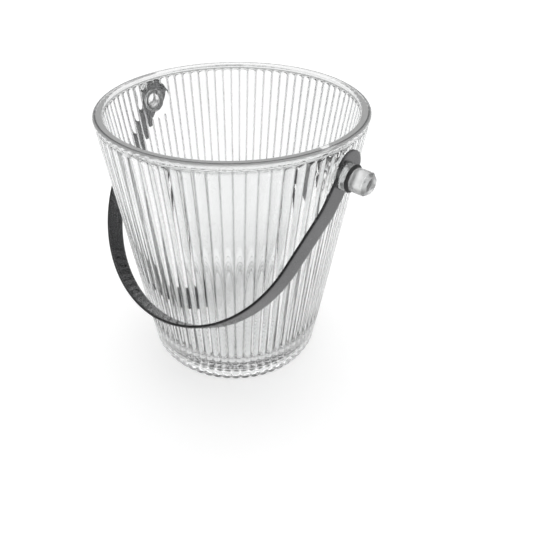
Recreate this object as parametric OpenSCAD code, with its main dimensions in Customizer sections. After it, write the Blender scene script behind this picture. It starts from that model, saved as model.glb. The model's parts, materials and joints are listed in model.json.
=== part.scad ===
// Pressed-glass ice bucket with a swinging steel bail.
// Origin: centre of the base on the surface it stands on. +Z up, X along the bail's hinge axis,
// and the bail hangs in front of the bucket, on the -Y side.
// The bucket is one piece of glass: ribbed wall, plain lip, foot, thick floor and two moulded ears.
// The bail is one bent steel strip. A split clear bush in each of its eyes turns on the ear's neck,
// and a rubber washer on the neck keeps it in place.

/* [Bucket] */
// Height of the bucket, from the table to the lip
bucket_h = 162; // [150:1:175]
// Outer radius at the lip
rim_r = 75; // [75:0.5:78]
// Height of the foot, the plain ring below the ribs
foot_h = 10.5; // [8:0.5:14]
// Outer radius of the foot at its top
foot_r = 57.6; // [55:0.2:60]
// Radius of the rib crests just above the foot
rib_low_r = 58.3; // [58:0.1:61]
// Height of the plain band at the lip
lip_band = 3.5; // [3:0.5:8]
// Glass thickness of the lip
lip_t = 5.4; // [4.6:0.1:7]
// Height of the floor's top above the table
floor_z = 9; // [7:0.5:14]
// Inner corner radius between floor and wall
corner_r = 15; // [8:0.5:18]

/* [Ribs] */
// Number of vertical ribs
rib_count = 80; // [60:2:90]
// How far the rib crests stand out from the wall
rib_h = 1.1; // [0.6:0.1:1.3]
// Share of the pitch that a rib's round section takes up
rib_fill = 0.96; // [0.7:0.02:0.98]

/* [Ears] */
// Height of the hinge axis above the table
ear_z = 144.5; // [140:0.5:146]
// Radius of the smooth pad round each ear, where the ribs stop
pad_r = 10.5; // [9:0.5:11.5]
// Radius of the neck that the bush turns on
neck_r = 4.5; // [4:0.1:5]
// Radius of the barrel-shaped head
head_r = 6.1; // [5.8:0.05:6.2]
// Length of the head
head_l = 6.9; // [5:0.1:8]
// Length of the cut end beyond the head
jewel_l = 2.4; // [1.5:0.1:3]
// Number of scallops around the cut end
jewel_cuts = 10; // [8:1:14]

/* [Bail] */
// Distance from the hinge axis to the middle of the grip
bail_l = 114.3; // [112:0.1:118]
// Half of the distance between the two eyes, at mid-thickness
bail_half = 76.15; // [76.1:0.05:77.5]
// Thickness of the steel strip
strip_t = 1.6; // [1.3:0.1:1.6]
// Width of the strip at the eyes
strip_w_top = 12.7; // [12:0.1:13.5]
// Width of the strip at the grip
strip_w_grip = 11.5; // [10:0.1:12]
// Radius of the round end that holds the eye
eye_end_r = 9.1; // [8.8:0.1:9.6]
// How far the round end's centre lies beyond the hinge axis
eye_end_shift = 4; // [2:0.1:4.2]
// Radius of the pierced eye
eye_r = 6.3; // [6.3:0.05:6.5]
// Angle that the legs lean inwards below their straight top
leg_lean = 8.5; // [6:0.5:10]
// Angle between the hanging bail and the vertical, where it rests just clear of the wall
bail_rest = 37; // [36.8:0.1:45]

/* [Bushes] */
// Radial running clearance on the neck
bush_gap = 0.05; // [0.03:0.01:0.1]
// Radius of the outer flange where it bears on the strip
flange_r = 7.2; // [7:0.1:8]
// Thickness of the outer flange
flange_t = 3; // [2:0.1:3.8]
// Width of the slit that lets the bush spring onto the neck
slit_w = 0.8; // [0.5:0.1:1.5]
// Radius of the rubber washer between the bush and the ear's head
washer_r = 7.1; // [6.4:0.1:7.4]
// Thickness of the rubber washer
washer_t = 0.8; // [0.6:0.1:1]

/* [Hidden] */
// Every sub-part: the one to build, or all of them

smooth = 96;          // facets of the large round shapes
small = 40;           // facets of the ears, eyes and bushes
rib_facets = 24;      // facets of one rib
far = 400;            // longer than anything in the model

// Wall: the rib crests lie on one cone, from just above the foot to the lip's edge
rib_z0 = foot_h + 0.8;
rib_z1 = bucket_h - lip_band - 0.5;
wall_slope = (rim_r - rib_low_r) / (bucket_h - rib_z0);
inner_top_r = rim_r - lip_t;
inner_low_r = inner_top_r - wall_slope * (bucket_h - floor_z);
lip_round = 1.6;
punt_h = 2;           // recess under the floor
punt_r = 48;
bearing_r = 50;       // inner edge of the ring that it stands on
foot_round = 2;

// Ears, measured along X from the middle of the bucket
shoulder_r = 7;
shoulder_x = bail_half - strip_t / 2 - 1.2;
strip_out_x = bail_half + strip_t / 2;
washer_x = strip_out_x + flange_t + 0.3;
head_x = washer_x + washer_t + 0.3;
head_end_x = head_x + head_l;

// Bail: straight legs, a slight bend inwards, then one half circle round the bucket
bend_s = 20;          // distance below the hinge axis where the legs start to lean
arc_r = (bail_half * cos(leg_lean) - (bail_l - bend_s) * sin(leg_lean)) / (1 - sin(leg_lean));
arc_s = bail_l - arc_r;
eye_fillet = 8;       // hollow corner between the round end and the strip
fillet_bite = 0.01;   // the corner's arc crosses the round end instead of only touching it

function crest_r(z) = rib_low_r + wall_slope * (z - rib_z0);
function root_r(z) = crest_r(z) - rib_h;

// Points of a quarter round in the half section, from angle a0 to a1 about (r, z)
function quarter(r, z, rad, a0, a1, steps = 5) =
    [for (i = [0 : steps]) let (a = a0 + (a1 - a0) * i / steps) [r + rad * cos(a), z + rad * sin(a)]];

// ---- Glass bucket -------------------------------------------------------------------------

// Outer form without ribs, filled solid
module outer_form() {
    rotate_extrude($fn = smooth)
        polygon(concat(
            [[0, punt_h], [punt_r, punt_h], [bearing_r, 0]],
            quarter(foot_r - 0.4 - foot_round, foot_round, foot_round, -90, 0),
            [[foot_r, foot_h], [root_r(rib_z0), rib_z0], [root_r(rib_z1), rib_z1],
             [crest_r(bucket_h - lip_band), bucket_h - lip_band]],
            quarter(rim_r - lip_round, bucket_h - lip_round, lip_round, 0, 90),
            [[0, bucket_h]]
        ));
}

// Hollow of the bucket, with a rounded floor corner and a rounded inner edge at the lip
module hollow() {
    rotate_extrude($fn = smooth)
        polygon(concat(
            [[0, floor_z]],
            quarter(inner_low_r - corner_r, floor_z + corner_r, corner_r, -90, 0, 7),
            [[inner_top_r, bucket_h - lip_round]],
            [for (a = [30 : 30 : 90]) [inner_top_r + lip_round * (1 - cos(a)),
                                       bucket_h - lip_round * (1 - sin(a))]],
            [[inner_top_r + lip_round, bucket_h + 1], [0, bucket_h + 1]]
        ));
}

// One rib: a slim cone lying along the wall, its crest on the crest line
module rib() {
    low_r = PI * crest_r(rib_z0) / rib_count * rib_fill;
    top_r = PI * crest_r(rib_z1) / rib_count * rib_fill;
    low_c = crest_r(rib_z0) - low_r;
    top_c = crest_r(rib_z1) - top_r;
    lean = atan2(top_c - low_c, rib_z1 - rib_z0);
    translate([low_c, 0, rib_z0])
        rotate([0, lean, 0])
            cylinder(h = (rib_z1 - rib_z0) / cos(lean), r1 = low_r, r2 = top_r, $fn = rib_facets);
}

// Moulded ear: shoulder, neck for the bush, barrel head and scalloped end, along +X
module ear() {
    translate([0, 0, ear_z])
        rotate([0, 90, 0]) {
            translate([0, 0, inner_top_r + 1])
                cylinder(h = shoulder_x - inner_top_r - 1, r = shoulder_r, $fn = small);
            cylinder_span(shoulder_x - 1, head_x + 1, neck_r, neck_r);
            cylinder_span(head_x, head_x + 0.6, head_r - 0.5, head_r);
            cylinder_span(head_x + 0.6, head_end_x, head_r, head_r);
            jewel();
        }
}

// Smooth pads round both ears, standing a little proud of the rib crests
module ear_pads() {
    proud = 0.15;
    intersection() {
        cylinder(h = bucket_h - lip_band, r1 = crest_r(0) + proud, r2 = crest_r(bucket_h - lip_band) + proud,
                 $fn = smooth);
        translate([0, 0, ear_z])
            rotate([0, 90, 0])
                cylinder(h = 2 * rim_r + 20, r = pad_r, center = true, $fn = small);
    }
}

// Round bar between two distances along the ear's axis
module cylinder_span(x0, x1, r0, r1) {
    translate([0, 0, x0])
        cylinder(h = x1 - x0, r1 = r0, r2 = r1, $fn = small);
}

// Cut end of the ear, a short cone with scallops round it
module jewel() {
    difference() {
        cylinder_span(head_end_x, head_end_x + jewel_l, head_r, head_r * 0.72);
        for (i = [0 : jewel_cuts - 1])
            rotate([0, 0, i * 360 / jewel_cuts])
                translate([head_r + 0.6, 0, head_end_x + 0.5])
                    rotate([0, -28, 0])
                        cylinder(h = 2 * jewel_l, r = 1.2, $fn = 16);
    }
}

module glass_bucket() {
    color([0.86, 0.89, 0.9, 0.45])
        difference() {
            union() {
                outer_form();
                for (i = [0 : rib_count - 1])
                    rotate([0, 0, (i + 0.5) * 360 / rib_count])
                        rib();
                ear_pads();
                ear();
                mirror([1, 0, 0])
                    ear();
            }
            hollow();
        }
}

// ---- Bail ---------------------------------------------------------------------------------

// Height below the hinge axis where the straight top meets the lean, on a line grown outwards
function bend_at(grow) =
    arc_s + (arc_r + grow - (bail_half + grow) * cos(leg_lean)) / sin(leg_lean);

// Everything inside the strip's outer face (grow > 0) or inner face (grow < 0), hanging down
module bail_inside(grow) {
    side_r = arc_r + grow;
    rotate([90, 0, 0]) {
        translate([0, -arc_s, -far / 20])
            cylinder(h = far / 10, r = side_r, $fn = 2 * smooth);
        translate([0, 0, -far / 20])
            linear_extrude(height = far / 10)
                polygon([
                    [-bail_half - grow, 2 * eye_end_r], [-bail_half - grow, -bend_at(grow)],
                    [-side_r * cos(leg_lean), -arc_s - side_r * sin(leg_lean)],
                    [side_r * cos(leg_lean), -arc_s - side_r * sin(leg_lean)],
                    [bail_half + grow, -bend_at(grow)], [bail_half + grow, 2 * eye_end_r]
                ]);
    }
}

// Side view of the strip: tapered band with a round end, filled across the whole width
module bail_side() {
    half = strip_w_top / 2;
    reach = sqrt(pow(eye_end_r + eye_fillet - fillet_bite, 2) - pow(half + eye_fillet, 2));
    fillet_z = eye_end_shift - reach;
    rotate([90, 0, 90])
        translate([0, 0, -far / 4]) {
            translate([0, eye_end_shift, 0])
                cylinder(h = far / 2, r = eye_end_r, $fn = small);
            linear_extrude(height = far / 2)
                polygon([
                    [-half, 0], [-strip_w_grip / 2, -bail_l - strip_t],
                    [strip_w_grip / 2, -bail_l - strip_t], [half, 0]
                ]);
            difference() {
                linear_extrude(height = far / 2)
                    for (side = [-1, 1])
                        polygon([
                            [0, eye_end_shift],
                            [side * (half + eye_fillet), fillet_z],
                            [0, fillet_z]
                        ]);
                for (side = [-1, 1])
                    translate([side * (half + eye_fillet), fillet_z, -1])
                        cylinder(h = far / 2 + 2, r = eye_fillet, $fn = small);
            }
        }
}

// Places its children from a bail that hangs straight down to the one at rest
module at_rest() {
    translate([0, 0, ear_z])
        rotate([-bail_rest, 0, 0])
            children();
}

module bail_handle() {
    color([0.3, 0.3, 0.31])
        at_rest()
            difference() {
                intersection() {
                    bail_side();
                    difference() {
                        bail_inside(strip_t / 2);
                        bail_inside(-strip_t / 2);
                    }
                }
                rotate([0, 90, 0])
                    cylinder(h = far, r = eye_r, center = true, $fn = small);
            }
}

// ---- Bushes -------------------------------------------------------------------------------

// Split bush along +X: inner lip, hub in the eye and a long tapered outer flange
module bush() {
    bore_r = neck_r + bush_gap;
    inner_x = bail_half - strip_t / 2;
    outer_x = strip_out_x + flange_t;
    at_rest()
        difference() {
            rotate([0, 90, 0])
                rotate_extrude($fn = small)
                    polygon([
                        [bore_r, inner_x - 0.8], [eye_r + 0.8, inner_x - 0.8],
                        [eye_r + 0.8, inner_x], [eye_r, inner_x], [eye_r, strip_out_x],
                        [flange_r, strip_out_x], [flange_r - 0.7, outer_x],
                        [bore_r, outer_x]
                    ]);
            translate([inner_x - 2, -slit_w / 2, 0])
                cube([flange_t + strip_t + 4, slit_w, 2 * flange_r]);
        }
}

module bush_right() {
    color([0.9, 0.91, 0.92, 0.6])
        bush();
}

module bush_left() {
    color([0.9, 0.91, 0.92, 0.6])
        mirror([1, 0, 0])
            bush();
}

// ---- Washers ------------------------------------------------------------------------------

// Rubber washer that grips the ear's neck outside the bush, along +X
module washer() {
    translate([0, 0, ear_z])
        rotate([0, 90, 0])
            translate([0, 0, washer_x])
                difference() {
                    cylinder(h = washer_t, r = washer_r, $fn = small);
                    translate([0, 0, -1])
                        cylinder(h = washer_t + 2, r = neck_r, $fn = small);
                }
}

module washer_right() {
    color([0.08, 0.08, 0.08])
        washer();
}

module washer_left() {
    color([0.08, 0.08, 0.08])
        mirror([1, 0, 0])
            washer();
}

glass_bucket();
bail_handle();
bush_left();
bush_right();
washer_left();
washer_right();
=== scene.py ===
"""Looks of a pressed-glass ice bucket with a steel bail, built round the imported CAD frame.

Units are metres. The frame is the CAD's: origin at the centre of the base, +Z up, X along the
bail's hinge axis, and the bail hangs on the -Y side.
"""

import json
from math import asin, atan2, cos, hypot, pi, radians, sin, sqrt, tan

import bmesh
import bpy
import numpy as np
from mathutils import Matrix, Vector


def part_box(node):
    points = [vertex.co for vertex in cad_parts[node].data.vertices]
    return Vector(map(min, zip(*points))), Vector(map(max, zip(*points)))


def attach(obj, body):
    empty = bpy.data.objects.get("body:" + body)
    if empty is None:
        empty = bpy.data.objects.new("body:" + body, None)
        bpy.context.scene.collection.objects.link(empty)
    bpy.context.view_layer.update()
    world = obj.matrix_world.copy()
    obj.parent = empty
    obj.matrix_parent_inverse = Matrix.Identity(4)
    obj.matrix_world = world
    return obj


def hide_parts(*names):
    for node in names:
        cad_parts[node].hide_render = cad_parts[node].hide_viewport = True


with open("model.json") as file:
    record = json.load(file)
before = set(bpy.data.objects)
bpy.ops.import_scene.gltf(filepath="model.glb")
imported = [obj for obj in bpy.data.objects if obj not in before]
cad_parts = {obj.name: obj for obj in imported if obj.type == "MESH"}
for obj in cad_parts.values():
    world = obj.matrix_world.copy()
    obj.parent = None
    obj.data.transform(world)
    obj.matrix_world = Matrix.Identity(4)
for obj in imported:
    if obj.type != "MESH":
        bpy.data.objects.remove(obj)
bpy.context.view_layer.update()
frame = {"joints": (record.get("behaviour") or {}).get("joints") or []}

MM = 0.001

# ---- Dimensions, from the frame first ------------------------------------------------------

_, glass_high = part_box("glass_bucket")
hinge = frame["joints"][0]
hinge_z = hinge["pos_m"][2]
height = glass_high.z
rim_r = glass_high.y                      # the rim is the widest part across Y
ear_tip_x = glass_high.x                  # the ears reach further than the rim along X
bail_rest = radians((360 - hinge["range_deg"][1]) / 2)

# Bucket section
FOOT_H = 10.5 * MM
FOOT_R = 57.6 * MM
RIB_LOW_Z = FOOT_H + 0.8 * MM
RIB_LOW_R = 58.3 * MM
LIP_BAND = 3.5 * MM
LIP_T = 5.4 * MM
LIP_ROUND = 1.6 * MM
FLOOR_Z = 9 * MM
CORNER_R = 15 * MM
PUNT_H = 2 * MM
PUNT_R = 48 * MM
BEARING_R = 50 * MM
FOOT_ROUND = 2 * MM
PUNT_EDGE = 1.2 * MM                      # rounding where the recess meets the ring

# Ribs and the beads under the foot
RIBS = 80
RIB_DEPTH = 0.46                          # height of a rib as a share of half its pitch
RIB_TOP = 2.4 * MM                        # length of a rib's domed top end
RIB_FOOT = 12 * MM                        # the valleys run out in points over this height
RIB_BLEND = 2.2 * MM                      # height over which the valleys close under the lip
PAD_BLEND = 1.6 * MM                      # width over which the ribs start outside an ear's pad
BEADS = 60
BEAD_H = 1.3 * MM
BEAD_ROUND = 0.98                         # 1 would bring the beads' sides down upright
BEAD_BLEND = 1.4 * MM                     # width over which the beads rise at the ring's inner edge
FLUTE_H = 0.8 * MM                        # depth of the foot's flutes above the beads
FLUTE_TOP = 10 * MM
STAR_H = 0.7 * MM                         # depth of the radial flutes under the floor
SCALLOP = 2.0 * MM                        # the bearing ring's inner edge runs out between beads

# Ears, along X
SHOULDER_R = 7 * MM
NECK_R = 4.5 * MM
PAD_R = 10.5 * MM                         # smooth pad without ribs round each ear
HEAD_R = 6.1 * MM
HEAD_L = 6.9 * MM
JEWEL_L = 2.4 * MM
JEWEL_FACETS = 10

# Bail
STRIP_T = 1.6 * MM
STRIP_W_TOP = 12.7 * MM
STRIP_W_GRIP = 11.5 * MM
EYE_END_R = 9.1 * MM
EYE_END_SHIFT = 4 * MM
EYE_R = 6.3 * MM
EYE_FILLET = 8 * MM
LEG_LEAN = radians(8.5)
BEND_S = 20 * MM                          # the legs start to lean this far below the hinge axis
BEND_R = 45 * MM                          # soft bend there
EYE_END_S = 10 * MM                       # the faces round an eye meet the plain strip here
EDGE_ROUND = 0.28 * MM

# Bushes
BUSH_GAP = 0.05 * MM                      # radial running clearance on the neck
SLIT_W = 0.8 * MM

wall_slope = (rim_r - RIB_LOW_R) / (height - RIB_LOW_Z)
inner_top_r = rim_r - LIP_T
inner_low_r = inner_top_r - wall_slope * (height - FLOOR_Z)
rib_top_z = height - LIP_BAND - 0.5 * MM
foot_low_r = FOOT_R - 0.4 * MM

_, strip_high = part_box("bail_handle")
bail_half = strip_high.x - STRIP_T / 2
bail_l = 114.3 * MM
strip_out_x = strip_high.x
shoulder_x = strip_out_x - STRIP_T - 1.2 * MM
head_end_x = ear_tip_x - JEWEL_L
head_x = head_end_x - HEAD_L


# ---- Mesh helpers --------------------------------------------------------------------------

def new_object(name, verts, faces, smooth=True):
    """A mesh object from a vertex array and a list of faces."""
    mesh = bpy.data.meshes.new(name)
    mesh.from_pydata([tuple(v) for v in verts], [], faces)
    mesh.validate()
    if smooth:
        mesh.polygons.foreach_set("use_smooth", [True] * len(mesh.polygons))
    obj = bpy.data.objects.new(name, mesh)
    bpy.context.scene.collection.objects.link(obj)
    return obj


def grid_faces(rows, cols, start=0, wrap=True):
    """Quads over a rows by cols grid of vertices; wrap closes it round the columns."""
    faces = []
    for i in range(rows - 1):
        a = start + i * cols
        for j in range(cols if wrap else cols - 1):
            k = (j + 1) % cols
            faces.append((a + j, a + k, a + cols + k, a + cols + j))
    return faces


def revolve(name, radius_rows, z_rows, angles):
    """A closed body of revolution whose radius and height may vary with the angle."""
    cols = len(angles)
    ca = np.cos(angles)
    sa = np.sin(angles)
    verts = []
    for r, z in zip(radius_rows, z_rows):
        r = np.broadcast_to(r, (cols,))
        z = np.broadcast_to(z, (cols,))
        verts.append(np.stack([r * ca, r * sa, z], 1))
    rows = len(verts)
    verts = np.concatenate(verts)
    faces = grid_faces(rows, cols)
    low = len(verts)
    ends = [[0, 0, float(np.mean(z_rows[0]))], [0, 0, float(np.mean(z_rows[-1]))]]
    verts = np.concatenate([verts, ends])
    last = (rows - 1) * cols
    for j in range(cols):
        k = (j + 1) % cols
        faces.append((low, k, j))
        faces.append((low + 1, last + j, last + k))
    return new_object(name, verts, faces)


def arc(cx, cy, r, a0, a1, steps):
    """Points of an arc about (cx, cy), from angle a0 to a1 in degrees, both ends included."""
    out = []
    for i in range(steps + 1):
        a = radians(a0 + (a1 - a0) * i / steps)
        out.append((cx + r * cos(a), cy + r * sin(a)))
    return out


def apply_modifiers(obj):
    """Replaces the object's mesh with its evaluated one, so that no modifier is left."""
    bpy.context.view_layer.update()
    graph = bpy.context.evaluated_depsgraph_get()
    mesh = bpy.data.meshes.new_from_object(obj.evaluated_get(graph))
    obj.modifiers.clear()
    obj.data = mesh


def face_outwards(obj, merge=0.0):
    """Merges points closer than merge and turns every face outwards; end caps are made flat."""
    bm = bmesh.new()
    bm.from_mesh(obj.data)
    if merge:
        bmesh.ops.remove_doubles(bm, verts=bm.verts, dist=merge)
    bmesh.ops.recalc_face_normals(bm, faces=bm.faces)
    for cap in (f for f in bm.faces if len(f.verts) > 4):
        cap.smooth = False
        for edge in cap.edges:
            edge.smooth = False
    bm.to_mesh(obj.data)
    bm.free()


def crest_r(z):
    """Radius of the rib crests at height z."""
    return RIB_LOW_R + wall_slope * (z - RIB_LOW_Z)


def smoothstep(t):
    """Smooth rise from 0 to 1 as t goes from 0 to 1."""
    t = np.clip(t, 0, 1)
    return t * t * (3 - 2 * t)


# ---- Glass bucket --------------------------------------------------------------------------

RIB_SAMPLES = [-1, -0.93, -0.8, -0.62, -0.4, -0.14, 0.14, 0.4, 0.62, 0.8, 0.93]


def rib_columns():
    """Angles round the bucket, closer together at the valleys, and each one's place in its rib."""
    angles = []
    across = []
    for i in range(RIBS):
        for p in RIB_SAMPLES:
            angles.append((i + 0.5 + p / 2) * 2 * pi / RIBS)
            across.append(p)
    return np.array(angles), np.array(across)


def ribbed_radius(z, angles, across):
    """Outer radius of the ribbed wall at height z: round ribs with domed ends, under the lip."""
    half_pitch = pi * crest_r(z) / RIBS
    depth = RIB_DEPTH * half_pitch
    curve = (half_pitch ** 2 + depth ** 2) / (2 * depth)
    rise = np.sqrt(curve ** 2 - (across * half_pitch) ** 2) - (curve - depth)
    top = min(1.0, max(0.0, 1 - (rib_top_z - z) / RIB_TOP))
    drop = depth * (1 - sqrt(1 - top ** 2))
    lip = depth * smoothstep((z - (rib_top_z - 1.0 * MM)) / RIB_BLEND)
    valley = depth - np.maximum(np.clip(rise - drop, 0, None), lip)
    from_ear = np.hypot(crest_r(z) * np.sin(angles), z - hinge_z)
    pad = smoothstep((from_ear - PAD_R) / PAD_BLEND)
    return crest_r(z) - valley * pad * smoothstep((z - RIB_LOW_Z) / RIB_FOOT)


def bead_phase(angles):
    """Place across a bead: 0 in its middle, -1 and 1 at its sides."""
    return (angles * BEADS / (2 * pi)) % 1.0 * 2 - 1


def bead_hollow(angles):
    """Round hollow between two beads: 0 in the middle of a bead, nearly 1 between two."""
    return 1 - np.sqrt(1 - BEAD_ROUND * bead_phase(angles) ** 2)


def bead_lift(angles, r):
    """Height of the bearing ring between its round beads, which stand on the table."""
    window = smoothstep((r - (BEARING_R - BEAD_BLEND)) / BEAD_BLEND)
    return BEAD_H * bead_hollow(angles) * float(window)


def flute(angles, z):
    """How far the foot's outside is drawn in at height z, between the beads."""
    return FLUTE_H * bead_hollow(angles) * float(smoothstep(1.4 - 1.4 * z / FLUTE_TOP))


def underside(angles):
    """Rows of the starred recess, its edge, and the beaded ring that the bucket stands on."""
    between = bead_phase(angles) ** 2
    scallop = SCALLOP * between
    star_full = 28 * MM                   # the star reaches its full depth here
    for r in (6 * MM, 12 * MM, 20 * MM, star_full, 36 * MM, 42 * MM, 45 * MM):
        yield r, PUNT_H + STAR_H * between * min(1.0, r / star_full)
    yield from arc(PUNT_R - 2 * MM, PUNT_H - PUNT_EDGE, PUNT_EDGE, 90, 30, 3)
    for i in range(5):
        r = BEARING_R - PUNT_EDGE + i * 0.5 * MM
        z = (PUNT_H - PUNT_EDGE) * (1 - i / 4) ** 2
        yield r + scallop * (i / 4), z + bead_lift(angles, r)
    ring_r = BEARING_R + 0.8 * MM
    for i in range(1, 5):
        r = ring_r + (foot_low_r - FOOT_ROUND - ring_r) * i / 4
        yield r + scallop * (1 - i / 4), bead_lift(angles, r)


def foot_side(angles):
    """Rows up the outside of the foot: its rounded bottom edge, then the fluted side."""
    for a in range(-75, 1, 15):
        r = foot_low_r - FOOT_ROUND + FOOT_ROUND * cos(radians(a))
        z = FOOT_ROUND + FOOT_ROUND * sin(radians(a))
        fade = (1 - z / FOOT_ROUND) if z < FOOT_ROUND else 0
        yield r - flute(angles, z), z + bead_lift(angles, r) * fade
    top_round = 0.3 * MM
    for i in range(1, 11):
        z = FOOT_ROUND + (FOOT_H - FOOT_ROUND - top_round) * i / 10
        yield foot_low_r + (FOOT_R - foot_low_r) * i / 10 - flute(angles, z), z
    yield FOOT_R - top_round / 2, FOOT_H


def ribbed_wall(angles, across):
    """Rows up the ribbed wall, closer where it changes: at the foot, the ears and the rib tops."""
    plain_low = RIB_LOW_Z + RIB_FOOT
    plain_high = hinge_z - PAD_R - 2 * MM
    domes = rib_top_z - RIB_TOP
    heights = np.concatenate([
        np.arange(RIB_LOW_Z, plain_low, 0.8 * MM),
        np.linspace(plain_low, plain_high, 20),
        np.arange(plain_high + 1 * MM, domes - 0.5 * MM, 1 * MM),
        np.arange(domes, rib_top_z + 1.7 * MM, 0.25 * MM),
    ])
    for z in heights:
        yield ribbed_radius(z, angles, across), z


def lip_and_inside():
    """Rows over the rounded lip, down the smooth inside and across the floor."""
    lip_z = height - LIP_ROUND
    below_lip = lip_z - 1.2 * MM
    yield crest_r(below_lip), below_lip
    for r, z in arc(rim_r - LIP_ROUND, lip_z, LIP_ROUND, 0, 90, 6):
        yield min(r, crest_r(z) if z < lip_z + 0.2 * MM else r), z
    yield (rim_r + inner_top_r) / 2, height
    yield from arc(inner_top_r + LIP_ROUND, lip_z, LIP_ROUND, 90, 180, 6)
    corner_z = FLOOR_Z + CORNER_R
    corner_c = inner_low_r - CORNER_R
    for i in range(1, 13):
        t = i / 13
        yield inner_top_r + (inner_low_r - inner_top_r) * t, lip_z + (corner_z - lip_z) * t
    yield from arc(corner_c, corner_z, CORNER_R, 0, -90, 10)
    for t in (0.75, 0.5, 0.25):
        yield corner_c * t, FLOOR_Z


def glass_body():
    """The bucket without its ears, from the middle of the underside round to the floor's middle."""
    angles, across = rib_columns()
    rows = [*underside(angles), *foot_side(angles), *ribbed_wall(angles, across), *lip_and_inside()]
    radii, heights = zip(*rows)
    return revolve("glass_body", radii, heights, angles)


def ear_profile():
    """Half section of an ear as (distance along X, radius): shoulder, neck, barrel head."""
    shoulder_round = 0.7 * MM
    neck_fillet = 0.3 * MM
    head_fillet = 0.4 * MM
    head_round = 0.9 * MM
    bulge = 0.1 * MM
    pts = [(inner_top_r - 0.5 * MM, SHOULDER_R * 0.8)]
    pts.append((shoulder_x - 3.2 * MM, SHOULDER_R + 0.6 * MM))
    pts.append((shoulder_x - 1.6 * MM, SHOULDER_R))
    pts += arc(shoulder_x - shoulder_round, SHOULDER_R - shoulder_round, shoulder_round, 90, 0, 4)
    pts += arc(shoulder_x + neck_fillet, NECK_R + neck_fillet, neck_fillet, 180, 270, 3)
    pts.append(((shoulder_x + head_x) / 2, NECK_R))
    pts += arc(head_x - head_fillet, NECK_R + head_fillet, head_fillet, 270, 360, 3)
    pts += arc(head_x + head_round, HEAD_R - bulge - head_round, head_round, 180, 95, 4)
    for i in range(1, 8):
        t = i / 8
        pts.append((head_x + head_round + (HEAD_L - 1.1 * MM) * t, HEAD_R - bulge + bulge * sin(pi * t)))
    pts.append((head_end_x, HEAD_R - 0.35 * MM))
    return pts


def glass_ear(side):
    """One moulded ear with its facetted end, along +X (side 1) or -X (side -1)."""
    cols = JEWEL_FACETS * 8
    angles = np.arange(cols) * 2 * pi / cols
    in_facet = (angles % (2 * pi / JEWEL_FACETS)) - pi / JEWEL_FACETS
    along, radii = (list(values) for values in zip(*ear_profile()))
    end_round = 0.3 * MM
    step_in = 0.2 * MM
    for i in range(9):
        t = i / 8
        along.append(head_end_x + step_in + (JEWEL_L - step_in - end_round) * t)
        round_r = HEAD_R - 0.12 * MM if i else HEAD_R - 0.3 * MM
        apothem = (HEAD_R - 0.2 * MM) * (1 - 0.27 * t ** 1.5)
        radii.append(np.minimum(round_r, apothem / np.cos(in_facet)))
    # rounded edge and flat tip
    last = radii[-1]
    along += [ear_tip_x - 0.1 * MM, ear_tip_x - 0.02 * MM, ear_tip_x]
    radii += [last - 0.12 * MM, last - 0.45 * MM, last * 0.5]
    obj = revolve("ear", radii, along, angles)
    turn = Matrix.Rotation(radians(90) * side, 4, "Y")
    obj.data.transform(Matrix.Translation((0, 0, hinge_z)) @ turn)
    return obj


def sharpen(obj, limit, where):
    """Marks edges sharper than limit (degrees) as sharp, where(point) is true."""
    bm = bmesh.new()
    bm.from_mesh(obj.data)
    for e in bm.edges:
        if len(e.link_faces) == 2 and where(e.verts[0].co) and e.calc_face_angle(0) > radians(limit):
            e.smooth = False
    bm.to_mesh(obj.data)
    bm.free()


def build_glass():
    """The whole glass: body and both ears as one solid."""
    glass = glass_body()
    for side in (1, -1):
        ear = glass_ear(side)
        union = glass.modifiers.new("ear", "BOOLEAN")
        union.operation = "UNION"
        union.solver = "MANIFOLD"
        union.object = ear
        apply_modifiers(glass)
        bpy.data.objects.remove(ear)
    glass.name = "glass_bucket_shell"
    # crisp facets on the cut ends, and a crisp line where an ear grows out of the wall
    sharpen(glass, 24, lambda p: abs(p.x) > rim_r + 0.5 * MM)
    sharpen(glass, 50, lambda p: abs(p.x) > rim_r - 4 * MM and hypot(p.y, p.z - hinge_z) < 9 * MM)
    return glass


# ---- Bail ----------------------------------------------------------------------------------

# One leg, by distance s below the hinge axis: upright, a soft bend, a straight lean, then the arc
arc_r = (bail_half * cos(LEG_LEAN) - (bail_l - BEND_S) * sin(LEG_LEAN)) / (1 - sin(LEG_LEAN))
arc_s = bail_l - arc_r
bend_top_s = BEND_S - BEND_R * tan(LEG_LEAN / 2)
lean_top_x = bail_half - BEND_R * (1 - cos(LEG_LEAN))
lean_top_s = bend_top_s + BEND_R * sin(LEG_LEAN)
lean_length = (arc_s + arc_r * sin(LEG_LEAN) - lean_top_s) / cos(LEG_LEAN)
half_length = bend_top_s + BEND_R * LEG_LEAN + lean_length + arc_r * (pi / 2 - LEG_LEAN)


def bail_point(length):
    """Mid-surface point (x, s) and the outward normal's angle, at a path length from the right
    hinge axis that ends at the middle of the grip."""
    if length <= bend_top_s:
        return bail_half, length, 0.0
    turn = (length - bend_top_s) / BEND_R
    if turn < LEG_LEAN:
        return bail_half - BEND_R * (1 - cos(turn)), bend_top_s + BEND_R * sin(turn), turn
    rest = length - bend_top_s - BEND_R * LEG_LEAN
    if rest <= lean_length:
        return lean_top_x - rest * sin(LEG_LEAN), lean_top_s + rest * cos(LEG_LEAN), LEG_LEAN
    a = LEG_LEAN + (rest - lean_length) / arc_r
    return arc_r * cos(a), arc_s + arc_r * sin(a), a


def strip_point(length, across, off):
    """A point of the strip at rest, from its place along, across and through it."""
    mirrored = length > half_length
    if mirrored:
        length = 2 * half_length - length
    x, s, a = bail_point(length)
    x += off * cos(a)
    s += off * sin(a)
    if mirrored:
        x = -x
    y = -s * sin(bail_rest) - across * cos(bail_rest)
    z = hinge_z - s * cos(bail_rest) + across * sin(bail_rest)
    return (x, y, z)


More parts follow.
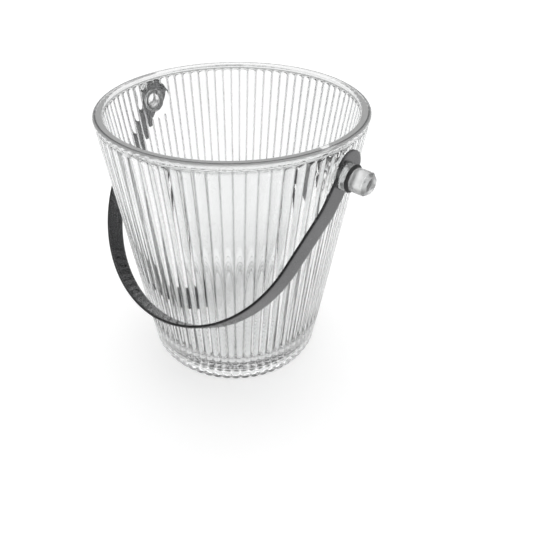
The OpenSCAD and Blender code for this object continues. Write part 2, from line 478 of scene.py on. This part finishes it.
def half_width(s):
    """Half the strip's width at distance s below the hinge axis (negative beyond it)."""
    half = STRIP_W_TOP / 2
    reach = sqrt((EYE_END_R + EYE_FILLET) ** 2 - (half + EYE_FILLET) ** 2)
    fillet_s = reach - EYE_END_SHIFT
    touch_s = EYE_END_R / (EYE_END_R + EYE_FILLET) * reach - EYE_END_SHIFT
    taper = half - (STRIP_W_TOP - STRIP_W_GRIP) / 2 * max(0.0, min(1.0, s / bail_l))
    if s <= touch_s:
        return sqrt(max(0.0, EYE_END_R ** 2 - (s + EYE_END_SHIFT) ** 2))
    if s <= fillet_s:
        return max(taper, half + EYE_FILLET - sqrt(EYE_FILLET ** 2 - (fillet_s - s) ** 2))
    return taper


def edge_section(b, t, steps=3):
    """Rounded edge from the top face down to the bottom face, as (inset, height) pairs."""
    pts = [(b - b * sin(radians(a)), t / 2 - b + b * cos(radians(a)))
           for a in np.linspace(0, 90, steps + 1)]
    return pts + [(i, -h) for i, h in reversed(pts)]


def round_end_point(angle):
    """Where a ray from the eye's centre leaves the round end, found by halving."""
    low, high = EYE_R, 14 * MM
    for _ in range(40):
        mid = (low + high) / 2
        s, n = mid * cos(angle), mid * sin(angle)
        inside = s > -(EYE_END_R + EYE_END_SHIFT) and abs(n) < half_width(s)
        low, high = (mid, high) if inside else (low, mid)
    return low * cos(angle), low * sin(angle)


def round_end(open_angle):
    """Angles round the eye, with the strip's outer edge and its outward normal at each one."""
    around = np.linspace(open_angle, 2 * pi - open_angle, 73)
    edge = [round_end_point(a) for a in around]
    edge[0] = (EYE_END_S, half_width(EYE_END_S))
    edge[-1] = (EYE_END_S, -half_width(EYE_END_S))
    edge = np.array(edge)
    tangent = np.gradient(edge, axis=0)
    tangent /= np.linalg.norm(tangent, axis=1)[:, None]
    normal = np.stack([tangent[:, 1], -tangent[:, 0]], 1)
    normal *= np.sign((normal * edge).sum(1))[:, None]
    normal[0] = (0, 1)
    normal[-1] = (0, -1)
    return around, edge, normal


def build_bail():
    """The bent strip with a pierced round end at each side, all edges rounded."""
    cross = np.linspace(-1, 1, 9)
    full_length = 2 * half_length
    section = edge_section(EDGE_ROUND, STRIP_T)
    verts = []
    faces = []

    def patch(rows):
        """Adds a grid of faces over rows of points."""
        start = len(verts)
        for r in rows:
            verts.extend(r)
        faces.extend(grid_faces(len(rows), len(rows[0]), start, wrap=False))

    def place(end, s, n, off):
        """A point near the eye at the strip's start (end 0) or finish (end 1)."""
        return strip_point(s if end == 0 else full_length - s, n, off)

    def spoke(end, angle, outer, off):
        """Points from the eye's rim outwards to a point of the edge."""
        inner = np.array([cos(angle), sin(angle)]) * (EYE_R + EDGE_ROUND)
        return [place(end, *(inner + (outer - inner) * t), off) for t in (0, 0.34, 0.67, 1)]

    strip_half = half_width(EYE_END_S)
    open_angle = atan2(strip_half, EYE_END_S)
    around, edge, normal = round_end(open_angle)
    towards_strip = np.arctan2(cross * strip_half, EYE_END_S)
    towards_strip[0] = -open_angle
    towards_strip[-1] = open_angle
    all_round = np.concatenate([around, towards_strip[1:] + 2 * pi])
    for end in (0, 1):
        # outer edge of the round end, then the edge of the pierced eye
        patch([[place(end, *(e - m * inset), h) for inset, h in section]
               for e, m in zip(edge, normal)])
        patch([[place(end, (EYE_R + inset) * cos(a), (EYE_R + inset) * sin(a), h)
                for inset, h in section] for a in all_round])
        # flat faces between the eye and the edge, and between the eye and the strip
        for h in (STRIP_T / 2, -STRIP_T / 2):
            patch([spoke(end, a, e - m * EDGE_ROUND, h) for a, e, m in zip(around, edge, normal)])
            patch([spoke(end, a, np.array([EYE_END_S, c * (strip_half - EDGE_ROUND)]), h)
                   for a, c in zip(towards_strip, cross)])

    # the plain strip between the two eyes, with closer rows near them
    near = 30 * MM
    stations = np.concatenate([np.linspace(EYE_END_S, near, 18),
                               np.linspace(near, full_length - near, 150)[1:-1],
                               np.linspace(full_length - near, full_length - EYE_END_S, 18)])

    def width_at(length):
        return half_width(bail_point(min(length, full_length - length))[1])

    for h in (STRIP_T / 2, -STRIP_T / 2):
        patch([[strip_point(s, c * (width_at(s) - EDGE_ROUND), h) for c in cross]
               for s in stations])
    for side in (1, -1):
        patch([[strip_point(s, side * (width_at(s) - inset), h) for inset, h in section]
               for s in stations])

    obj = new_object("bail_strip", verts, faces)
    face_outwards(obj, merge=2e-6)
    return obj


# ---- Bushes and washers --------------------------------------------------------------------

RING_STEPS = 96


def turned_ring(name, section, side, angles, closed):
    """A half section (distance along X, radius) turned about the hinge axis on one side. It is
    closed into a full ring, or left open with two flat ends."""
    cols = len(section)
    last = (len(angles) - 1) * cols
    verts = [(side * x, r * sin(a), hinge_z + r * cos(a)) for a in angles for x, r in section]
    faces = grid_faces(len(angles), cols)
    if closed:
        faces += [(last + j, last + (j + 1) % cols, (j + 1) % cols, j) for j in range(cols)]
    else:
        faces.append(tuple(range(cols)))
        faces.append(tuple(last + j for j in reversed(range(cols))))
    obj = new_object(name, verts, faces)
    face_outwards(obj)
    return obj


def build_bush(name, side):
    """Split clear bush: inner lip, hub in the eye and a long tapered outer flange."""
    low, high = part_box(name)
    bore = NECK_R + BUSH_GAP
    inner_x = strip_out_x - STRIP_T - 0.06 * MM      # faces just clear of the strip's
    outer_x = strip_out_x + 0.04 * MM
    lip_x = strip_out_x - STRIP_T - 0.8 * MM
    end_x = high.x if side > 0 else -low.x
    lip_r = EYE_R + 0.8 * MM
    hub_r = EYE_R - 0.02 * MM
    flange_r = (high.y - low.y) / 2
    b = 0.2 * MM                                     # rounding of the small edges
    big = 0.45 * MM                                  # rounding of the flange's outer edge
    section = arc(lip_x + b, bore + b, b, 270, 180, 3)
    section += arc(lip_x + b, lip_r - b, b, 180, 90, 3)
    section += arc(inner_x - b, lip_r - b, b, 90, 0, 3)
    section += [(inner_x, hub_r), (outer_x, hub_r)]
    section += arc(outer_x + b, flange_r - b, b, 180, 75, 4)
    section += arc(end_x - big, flange_r - 0.7 * MM - big, big, 75, 0, 5)
    section += arc(end_x - b, bore + b, b, 0, -90, 3)
    # the slit opens on the side of the eye away from the grip
    slit = asin(SLIT_W / (bore + flange_r))
    angles = np.linspace(slit, 2 * pi - slit, RING_STEPS + 1) + bail_rest
    return turned_ring(name + "_clear", section, side, angles, closed=False)


def build_washer(name, side):
    """Rubber washer on the ear's neck, with softly rounded edges."""
    low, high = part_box(name)
    x0, x1 = (low.x, high.x) if side > 0 else (-high.x, -low.x)
    outer = (high.y - low.y) / 2
    b = 0.25 * MM
    section = arc(x0 + b, NECK_R + b, b, 270, 180, 3)
    section += arc(x0 + b, outer - b, b, 180, 90, 4)
    section += arc(x1 - b, outer - b, b, 90, 0, 4)
    section += arc(x1 - b, NECK_R + b, b, 0, -90, 3)
    angles = np.arange(RING_STEPS) * 2 * pi / RING_STEPS
    return turned_ring(name + "_rubber", section, side, angles, closed=True)


# ---- Materials -----------------------------------------------------------------------------

def node_adder(tree):
    """A function that adds a node of a kind to the tree, with the properties given."""
    def add(kind, **values):
        node = tree.nodes.new(kind)
        for key, value in values.items():
            setattr(node, key, value)
        return node

    return add


def material(name):
    """A new material: returns (material, node adder, linker, Principled shader)."""
    mat = bpy.data.materials.new(name)
    mat.use_nodes = True
    tree = mat.node_tree
    return mat, node_adder(tree), tree.links.new, tree.nodes["Principled BSDF"]


def times(add, link, a, b):
    """The product of two values."""
    node = add("ShaderNodeMath", operation="MULTIPLY")
    link(a, node.inputs[0])
    link(b, node.inputs[1])
    return node.outputs["Value"]


def noise(add, link, scale, detail, stretch=None):
    """Noise in object space, optionally stretched along an axis: returns its value."""
    coords = add("ShaderNodeTexCoord")
    node = add("ShaderNodeTexNoise")
    node.inputs["Scale"].default_value = scale
    node.inputs["Detail"].default_value = detail
    if stretch:
        mapping = add("ShaderNodeMapping")
        mapping.inputs["Scale"].default_value = stretch
        link(coords.outputs["Object"], mapping.inputs["Vector"])
        link(mapping.outputs["Vector"], node.inputs["Vector"])
    else:
        link(coords.outputs["Object"], node.inputs["Vector"])
    return node.outputs["Fac"]


def ramp(add, link, source, low, high, start=0.3, end=0.7):
    """Goes from low to high as the source goes from start to end, and stays level outside."""
    node = add("ShaderNodeMapRange")
    node.inputs["From Min"].default_value = start
    node.inputs["From Max"].default_value = end
    node.inputs["To Min"].default_value = low
    node.inputs["To Max"].default_value = high
    link(source, node.inputs["Value"])
    return node.outputs["Result"]


def bump_from(add, link, shader, source, strength, distance):
    """Roughens the surface's shading with a texture, over a height in metres."""
    bump = add("ShaderNodeBump")
    bump.inputs["Strength"].default_value = strength
    bump.inputs["Distance"].default_value = distance
    link(source, bump.inputs["Height"])
    link(bump.outputs["Normal"], shader.inputs["Normal"])


def groove_shade_mask(add, link, coords, z):
    """1 at the bottoms of the grooves between the ribs, 0 on their crests and inside the bucket: where
    the painted groove shade goes.
    """
    flat = add("ShaderNodeVectorMath", operation="MULTIPLY")
    flat.inputs[1].default_value = (1, 1, 0)
    link(coords.outputs["Object"], flat.inputs[0])
    radius = add("ShaderNodeVectorMath", operation="LENGTH")
    link(flat.outputs["Vector"], radius.inputs[0])
    crest = add("ShaderNodeMath", operation="MULTIPLY_ADD")
    crest.inputs[1].default_value = wall_slope
    crest.inputs[2].default_value = crest_r(0)
    link(z, crest.inputs[0])
    share = add("ShaderNodeMath", operation="DIVIDE")
    link(radius.outputs["Value"], share.inputs[0])
    link(crest.outputs["Value"], share.inputs[1])
    # as a share of the crest's radius: the groove's bottom, and where its sides get clear
    deepest = 1 - RIB_DEPTH * pi / RIBS
    upper = 1 - (1 - deepest) * 0.55
    below_crest = ramp(add, link, share.outputs["Value"], 1.0, 0.0, deepest, upper)
    on_outside = ramp(add, link, share.outputs["Value"], 0.0, 1.0, deepest - 0.010, deepest - 0.006)
    return times(add, link, below_crest, on_outside)


def glass_material():
    """Clear pressed glass with faint flow waves from the mould.

    Light carried a long way inside thick glass is lost in rendering. The haze at the lip and the
    foot is painted light that makes up for that, and the grey in the grooves is painted shade
    that strengthens the dark lines between ribs.
    """
    mat, add, link, shader = material("pressed_glass")
    shader.inputs["IOR"].default_value = 1.51
    bump_from(add, link, shader, noise(add, link, 55, 2, stretch=(1, 1, 0.4)), 0.25, 0.0004)
    coords = add("ShaderNodeTexCoord")
    split = add("ShaderNodeSeparateXYZ")
    link(coords.outputs["Object"], split.inputs["Vector"])
    z = split.outputs["Z"]

    # painted shade: a dark grey base colour at the groove bottoms darkens the lines between ribs
    painted_groove_shade = add("ShaderNodeMix", data_type="RGBA")
    painted_groove_shade.inputs["A"].default_value = (0.950, 0.955, 0.955, 1)
    painted_groove_shade.inputs["B"].default_value = (0.26, 0.265, 0.27, 1)
    link(groove_shade_mask(add, link, coords, z), painted_groove_shade.inputs["Factor"])
    link(painted_groove_shade.outputs["Result"], shader.inputs["Base Color"])

    # satin on the barrel heads only, from their start to the cut end
    reach = add("ShaderNodeMath", operation="ABSOLUTE")
    link(split.outputs["X"], reach.inputs[0])
    start = ramp(add, link, reach.outputs["Value"], 0.0, 1.0, head_x, head_x + 0.4 * MM)
    end = ramp(add, link, reach.outputs["Value"], 1.0, 0.0, head_end_x - 0.3 * MM, head_end_x)
    barrel = times(add, link, start, end)

    # painted light: less transmission at the lip and the foot shows the pale base colour there,
    # lightening them where rendered light is lost
    lip = ramp(add, link, z, 1.0, 0.62, height - 2.6 * MM, height - 0.6 * MM)
    foot = ramp(add, link, z, 0.97, 1.0, 7 * MM, 11 * MM)
    satin = ramp(add, link, barrel, 0.98, 0.72, 0, 1)
    clear = times(add, link, times(add, link, lip, foot), satin)
    link(clear, shader.inputs["Transmission Weight"])

    rough = add("ShaderNodeMath", operation="MULTIPLY_ADD")
    rough.inputs[1].default_value = 0.25
    link(barrel, rough.inputs[0])
    link(ramp(add, link, noise(add, link, 900, 2), 0.0, 0.02), rough.inputs[2])
    link(rough.outputs["Value"], shader.inputs["Roughness"])
    return mat


def rubber_material():
    """Black rubber, dull, with a fine moulded grain."""
    mat, add, link, shader = material("black_rubber")
    shader.inputs["Base Color"].default_value = (0.02, 0.02, 0.02, 1)
    link(ramp(add, link, noise(add, link, 1500, 3), 0.55, 0.75), shader.inputs["Roughness"])
    return mat


def plastic_material():
    """Clear moulded plastic, slightly milky."""
    mat, add, link, shader = material("clear_bush")
    shader.inputs["Base Color"].default_value = (0.95, 0.96, 0.96, 1)
    shader.inputs["Transmission Weight"].default_value = 0.85
    shader.inputs["IOR"].default_value = 1.49
    link(ramp(add, link, noise(add, link, 700, 3), 0.02, 0.06), shader.inputs["Roughness"])
    return mat


def steel_material():
    """Dark satin steel with a fine even grain and faint handling marks."""
    mat, add, link, shader = material("dark_satin_steel")
    shader.inputs["Metallic"].default_value = 1.0
    grain = noise(add, link, 1400, 3)
    colour = add("ShaderNodeMix", data_type="RGBA")
    colour.inputs["A"].default_value = (0.10, 0.10, 0.102, 1)
    colour.inputs["B"].default_value = (0.155, 0.155, 0.158, 1)
    link(noise(add, link, 45, 4), colour.inputs["Factor"])
    link(colour.outputs["Result"], shader.inputs["Base Color"])
    link(ramp(add, link, grain, 0.22, 0.30), shader.inputs["Roughness"])
    bump_from(add, link, shader, grain, 0.12, 0.00004)
    return mat


def floor_material():
    """Plain pale floor, partly glowing so that it stays white round the bucket."""
    mat, _, _, shader = material("pale_floor")
    shader.inputs["Base Color"].default_value = (0.6, 0.6, 0.6, 1)
    shader.inputs["Roughness"].default_value = 0.6
    shader.inputs["Emission Color"].default_value = (1, 1, 1, 1)
    shader.inputs["Emission Strength"].default_value = 0.55
    return mat


# ---- Build the object ----------------------------------------------------------------------

def dress(obj, mat, body, slot, *nodes):
    """Gives a piece its material, ties it to its body and hides the CAD nodes it replaces; slot is not
    used.
    """
    obj.data.materials.clear()
    obj.data.materials.append(mat)
    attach(obj, body)
    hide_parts(*nodes)


dress(build_glass(), glass_material(), "bucket", "clear_glass", "glass_bucket")
dress(build_bail(), steel_material(), "bail", "steel_strip", "bail_handle")
clear_plastic = plastic_material()
dress(build_bush("bush_right", 1), clear_plastic, "bail", "clear_plastic", "bush_right")
dress(build_bush("bush_left", -1), clear_plastic, "bail", "clear_plastic", "bush_left")
rubber = rubber_material()
dress(build_washer("washer_right", 1), rubber, "bucket", "black_rubber", "washer_right")
dress(build_washer("washer_left", -1), rubber, "bucket", "black_rubber", "washer_left")


# ---- Studio --------------------------------------------------------------------------------

def build_floor():
    """A large floor just under the bucket, whose edges lie far beyond every view."""
    half = 20.0
    verts = [(-half, -half, 0), (half, -half, 0), (half, half, 0), (-half, half, 0)]
    floor = new_object("floor", verts, [(0, 1, 2, 3)], smooth=False)
    floor.location.z = -0.0002
    floor.data.materials.append(floor_material())


def build_world():
    """Grey surroundings, white overhead, dimmer on the camera's side, with one dark panel to the
    front left."""
    world = bpy.data.worlds.new("studio")
    bpy.context.scene.world = world
    world.use_nodes = True
    tree = world.node_tree
    add = node_adder(tree)
    link = tree.links.new
    background = tree.nodes["Background"]
    background.inputs["Color"].default_value = (1, 1, 1, 1)
    coords = add("ShaderNodeTexCoord")

    def lobe(direction, near, far_value, start, end):
        """Goes from far_value to near as the view turns towards the direction."""
        dot = add("ShaderNodeVectorMath", operation="DOT_PRODUCT")
        dot.inputs[1].default_value = direction
        link(coords.outputs["Generated"], dot.inputs[0])
        node = add("ShaderNodeMapRange", interpolation_type="SMOOTHSTEP")
        node.inputs["From Min"].default_value = start
        node.inputs["From Max"].default_value = end
        node.inputs["To Min"].default_value = far_value
        node.inputs["To Max"].default_value = near
        link(dot.outputs["Value"], node.inputs["Value"])
        return node.outputs["Result"]

    sky = lobe((0, 0, 1), 1.15, 0.45, 0.35, 0.8)
    panel = lobe(Vector((-0.55, -0.73, 0.40)).normalized(), 0.03, 1.0, 0.93, 0.985)
    camera_side = lobe(CAMERA_SIDE, 0.6, 1.0, 0.4, 0.9)
    strength = times(add, link, times(add, link, sky, panel), camera_side)
    link(strength, background.inputs["Strength"])


def build_light():
    """A large soft light above and behind the bucket."""
    place = Vector((-0.3, 0.3, 1.6))
    aim = Vector((0, 0, 80 * MM))
    data = bpy.data.lights.new("top_soft", "AREA")
    data.size = 1.6
    data.energy = 6
    light = bpy.data.objects.new("top_soft", data)
    light.location = place
    light.rotation_euler = (aim - place).to_track_quat("-Z", "Y").to_euler()
    bpy.context.scene.collection.objects.link(light)


# Camera: the photograph's viewing angle, close to the bucket
AZIMUTH = radians(45.06)
ELEVATION = radians(34.21)
ROLL = radians(-0.96)
DISTANCE = 0.320
LENS = 33.83
SHIFT = (0.0617, -0.080)
CAMERA_SIDE = (sin(AZIMUTH) * cos(ELEVATION), -cos(AZIMUTH) * cos(ELEVATION), sin(ELEVATION))


def build_camera():
    """The camera looks at the bucket's middle, slightly rolled, with its frame shifted."""
    back = Vector(CAMERA_SIDE)
    aim = Vector((0, 0, height / 2))
    right = (-back).cross(Vector((0, 0, 1))).normalized()
    up = right.cross(-back)
    rolled_right = right * cos(ROLL) + up * sin(ROLL)
    rolled_up = up * cos(ROLL) - right * sin(ROLL)
    turn = Matrix((rolled_right, rolled_up, back)).transposed().to_4x4()
    data = bpy.data.cameras.new("camera")
    data.lens = LENS
    data.sensor_width = 36
    data.shift_x, data.shift_y = SHIFT
    data.clip_start = 0.01
    camera = bpy.data.objects.new("camera", data)
    camera.matrix_world = Matrix.Translation(aim + back * DISTANCE) @ turn
    bpy.context.scene.collection.objects.link(camera)
    bpy.context.scene.camera = camera


build_floor()
build_world()
build_light()
build_camera()
bpy.context.scene.view_settings.view_transform = "Standard"
